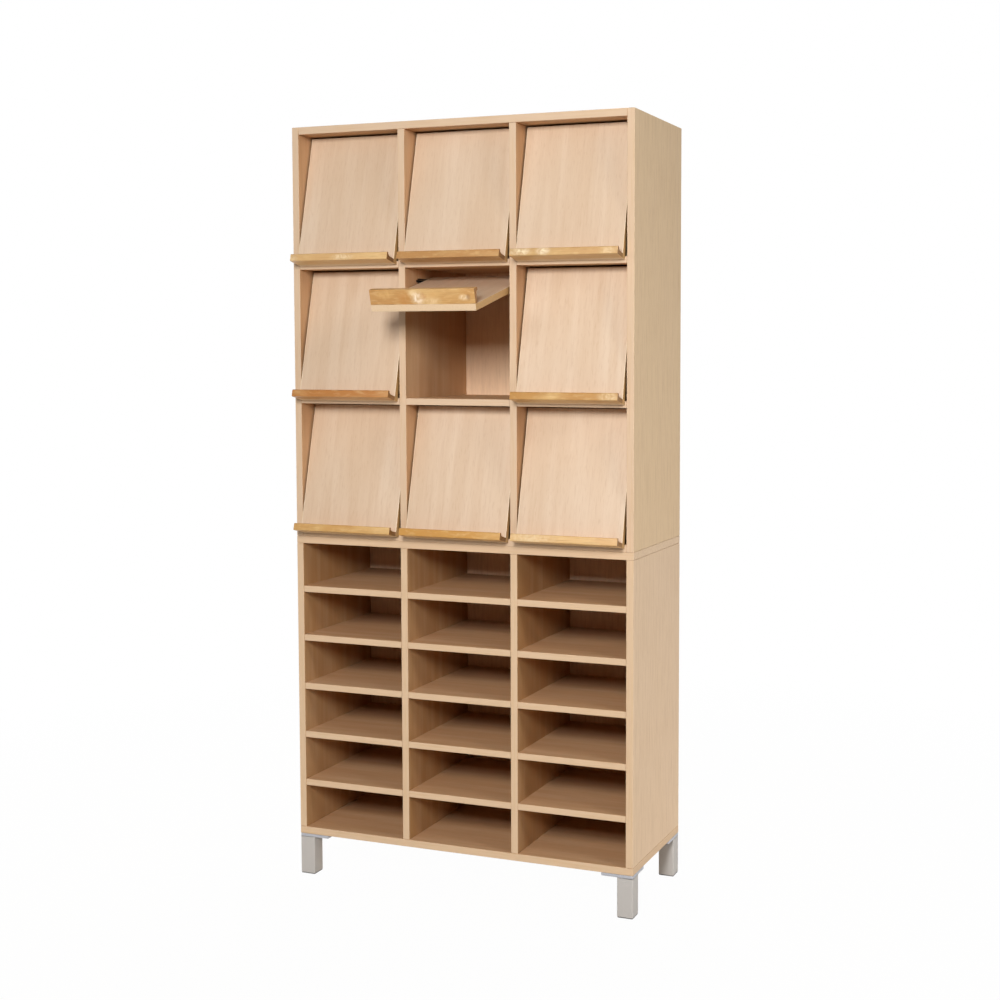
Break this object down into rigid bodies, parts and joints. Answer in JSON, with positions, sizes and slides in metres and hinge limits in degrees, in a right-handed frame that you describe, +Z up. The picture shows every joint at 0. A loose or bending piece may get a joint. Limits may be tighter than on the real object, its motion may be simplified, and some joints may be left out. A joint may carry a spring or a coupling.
{
  "type": "literature sorter cabinet",
  "caption": "Tall board cabinet on square legs: open pigeonholes below, display compartments above, each closed by a sloping lift-and-slide flap with a ledge for literature.",
  "frame": {"origin": "on the floor, under the middle of the box round the whole part, raised flap included", "axes": "+Z up, +Y from the front to the back, +X to the right seen from the front"},
  "size_m": [0.9, 0.5346, 1.884],
  "materials": {
    "maple_board": "matt melamine with maple grain",
    "birch_ledge": "satin lacquered solid birch",
    "bright_steel": "drawn",
    "silver_steel": "satin silver coating",
    "grey_glide": "moulded"
  },
  "bodies": {
    "cabinet": {"lower_bottom": "maple_board", "lower_top": "maple_board", "lower_side_left": "maple_board", "lower_side_right": "maple_board", "lower_divider_left": "maple_board", "lower_divider_right": "maple_board", "lower_back": "maple_board", "lower_shelf_1": "maple_board", "lower_shelf_2": "maple_board", "lower_shelf_3": "maple_board", "lower_shelf_4": "maple_board", "lower_shelf_5": "maple_board", "upper_bottom": "maple_board", "upper_top": "maple_board", "upper_side_left": "maple_board", "upper_side_right": "maple_board", "upper_divider_left": "maple_board", "upper_divider_right": "maple_board", "upper_back": "maple_board", "upper_shelf_1": "maple_board", "upper_shelf_2": "maple_board", "leg_front_left": "silver_steel", "leg_front_right": "silver_steel", "leg_rear_left": "silver_steel", "leg_rear_right": "silver_steel", "glide_front_left": "grey_glide", "glide_front_right": "grey_glide", "glide_rear_left": "grey_glide", "glide_rear_right": "grey_glide", "unit_bolt_1": "bright_steel", "unit_bolt_2": "bright_steel", "unit_bolt_3": "bright_steel", "unit_bolt_4": "bright_steel"},
    "slider_1_1": {"pivot_rod_1_1": "bright_steel"},
    "flap_1_1": {"flap_panel_1_1": "maple_board", "flap_ledge_1_1": "birch_ledge"},
    "slider_1_2": {"pivot_rod_1_2": "bright_steel"},
    "flap_1_2": {"flap_panel_1_2": "maple_board", "flap_ledge_1_2": "birch_ledge"},
    "slider_1_3": {"pivot_rod_1_3": "bright_steel"},
    "flap_1_3": {"flap_panel_1_3": "maple_board", "flap_ledge_1_3": "birch_ledge"},
    "slider_2_1": {"pivot_rod_2_1": "bright_steel"},
    "flap_2_1": {"flap_panel_2_1": "maple_board", "flap_ledge_2_1": "birch_ledge"},
    "slider_2_2": {"pivot_rod_2_2": "bright_steel"},
    "flap_2_2": {"flap_panel_2_2": "maple_board", "flap_ledge_2_2": "birch_ledge"},
    "slider_2_3": {"pivot_rod_2_3": "bright_steel"},
    "flap_2_3": {"flap_panel_2_3": "maple_board", "flap_ledge_2_3": "birch_ledge"},
    "slider_3_1": {"pivot_rod_3_1": "bright_steel"},
    "flap_3_1": {"flap_panel_3_1": "maple_board", "flap_ledge_3_1": "birch_ledge"},
    "slider_3_2": {"pivot_rod_3_2": "bright_steel"},
    "flap_3_2": {"flap_panel_3_2": "maple_board", "flap_ledge_3_2": "birch_ledge"},
    "slider_3_3": {"pivot_rod_3_3": "bright_steel"},
    "flap_3_3": {"flap_panel_3_3": "maple_board", "flap_ledge_3_3": "birch_ledge"}
  },
  "joints": [
    {"name": "flap_slide_1_1", "type": "slide", "parent": "cabinet", "child": "slider_1_1", "axis": [0, 1, 0], "range_m": [0, 0.05801]},
    {"name": "flap_lift_1_1", "type": "hinge", "parent": "slider_1_1", "child": "flap_1_1", "pos_m": [-0.294, -0.02274, 1.836], "axis": [-1, 0, 0], "range_deg": [0, 62.52]},
    {"name": "flap_slide_1_2", "type": "slide", "parent": "cabinet", "child": "slider_1_2", "axis": [0, 1, 0], "range_m": [0, 0.05801]},
    {"name": "flap_lift_1_2", "type": "hinge", "parent": "slider_1_2", "child": "flap_1_2", "pos_m": [0, -0.02274, 1.836], "axis": [-1, 0, 0], "range_deg": [0, 62.52]},
    {"name": "flap_slide_1_3", "type": "slide", "parent": "cabinet", "child": "slider_1_3", "axis": [0, 1, 0], "range_m": [0, 0.05801]},
    {"name": "flap_lift_1_3", "type": "hinge", "parent": "slider_1_3", "child": "flap_1_3", "pos_m": [0.294, -0.02274, 1.836], "axis": [-1, 0, 0], "range_deg": [0, 62.52]},
    {"name": "flap_slide_2_1", "type": "slide", "parent": "cabinet", "child": "slider_2_1", "axis": [0, 1, 0], "range_m": [0, 0.05801]},
    {"name": "flap_lift_2_1", "type": "hinge", "parent": "slider_2_1", "child": "flap_2_1", "pos_m": [-0.294, -0.02274, 1.504], "axis": [-1, 0, 0], "range_deg": [0, 62.52]},
    {"name": "flap_slide_2_2", "type": "slide", "parent": "cabinet", "child": "slider_2_2", "axis": [0, 1, 0], "range_m": [-0.05801, 0]},
    {"name": "flap_lift_2_2", "type": "hinge", "parent": "slider_2_2", "child": "flap_2_2", "pos_m": [0, 0.03526, 1.504], "axis": [-1, 0, 0], "range_deg": [-62.52, 0]},
    {"name": "flap_slide_2_3", "type": "slide", "parent": "cabinet", "child": "slider_2_3", "axis": [0, 1, 0], "range_m": [0, 0.05801]},
    {"name": "flap_lift_2_3", "type": "hinge", "parent": "slider_2_3", "child": "flap_2_3", "pos_m": [0.294, -0.02274, 1.504], "axis": [-1, 0, 0], "range_deg": [0, 62.52]},
    {"name": "flap_slide_3_1", "type": "slide", "parent": "cabinet", "child": "slider_3_1", "axis": [0, 1, 0], "range_m": [0, 0.05801]},
    {"name": "flap_lift_3_1", "type": "hinge", "parent": "slider_3_1", "child": "flap_3_1", "pos_m": [-0.294, -0.02274, 1.172], "axis": [-1, 0, 0], "range_deg": [0, 62.52]},
    {"name": "flap_slide_3_2", "type": "slide", "parent": "cabinet", "child": "slider_3_2", "axis": [0, 1, 0], "range_m": [0, 0.05801]},
    {"name": "flap_lift_3_2", "type": "hinge", "parent": "slider_3_2", "child": "flap_3_2", "pos_m": [0, -0.02274, 1.172], "axis": [-1, 0, 0], "range_deg": [0, 62.52]},
    {"name": "flap_slide_3_3", "type": "slide", "parent": "cabinet", "child": "slider_3_3", "axis": [0, 1, 0], "range_m": [0, 0.05801]},
    {"name": "flap_lift_3_3", "type": "hinge", "parent": "slider_3_3", "child": "flap_3_3", "pos_m": [0.294, -0.02274, 1.172], "axis": [-1, 0, 0], "range_deg": [0, 62.52]}
  ],
  "couplings": [
    {"joint": "flap_slide_1_1", "follows": "flap_lift_1_1", "m_per_rad": 0.053149},
    {"joint": "flap_slide_1_2", "follows": "flap_lift_1_2", "m_per_rad": 0.053149},
    {"joint": "flap_slide_1_3", "follows": "flap_lift_1_3", "m_per_rad": 0.053149},
    {"joint": "flap_slide_2_1", "follows": "flap_lift_2_1", "m_per_rad": 0.053149},
    {"joint": "flap_slide_2_2", "follows": "flap_lift_2_2", "m_per_rad": 0.053149},
    {"joint": "flap_slide_2_3", "follows": "flap_lift_2_3", "m_per_rad": 0.053149},
    {"joint": "flap_slide_3_1", "follows": "flap_lift_3_1", "m_per_rad": 0.053149},
    {"joint": "flap_slide_3_2", "follows": "flap_lift_3_2", "m_per_rad": 0.053149},
    {"joint": "flap_slide_3_3", "follows": "flap_lift_3_3", "m_per_rad": 0.053149}
  ]
}
